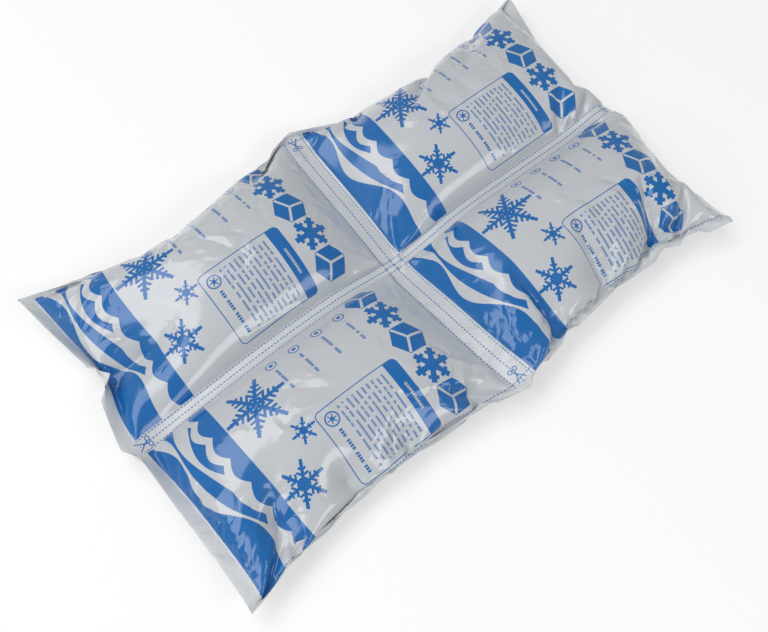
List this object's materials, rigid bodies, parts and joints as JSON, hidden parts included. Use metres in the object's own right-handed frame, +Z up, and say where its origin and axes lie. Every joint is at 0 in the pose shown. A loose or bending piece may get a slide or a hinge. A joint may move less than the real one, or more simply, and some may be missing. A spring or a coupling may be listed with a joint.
{
  "type": "reusable gel ice pack",
  "caption": "Flat printed film sheet welded into filled gel cells in two rows, laid flat to chill food in a cool box or bag.",
  "frame": {"origin": "on the table, under the middle of the sheet's outline", "axes": "+Z up from the table, +X along the longer seam towards the end that is drawn in more, +Y across the sheet"},
  "size_m": [0.394, 0.2362, 0.0369],
  "materials": {
    "film": "clear glossy film over pale gel, printed blue on the upper side"
  },
  "bodies": {
    "root": {"ice_pack": "film"}
  },
  "joints": []
}
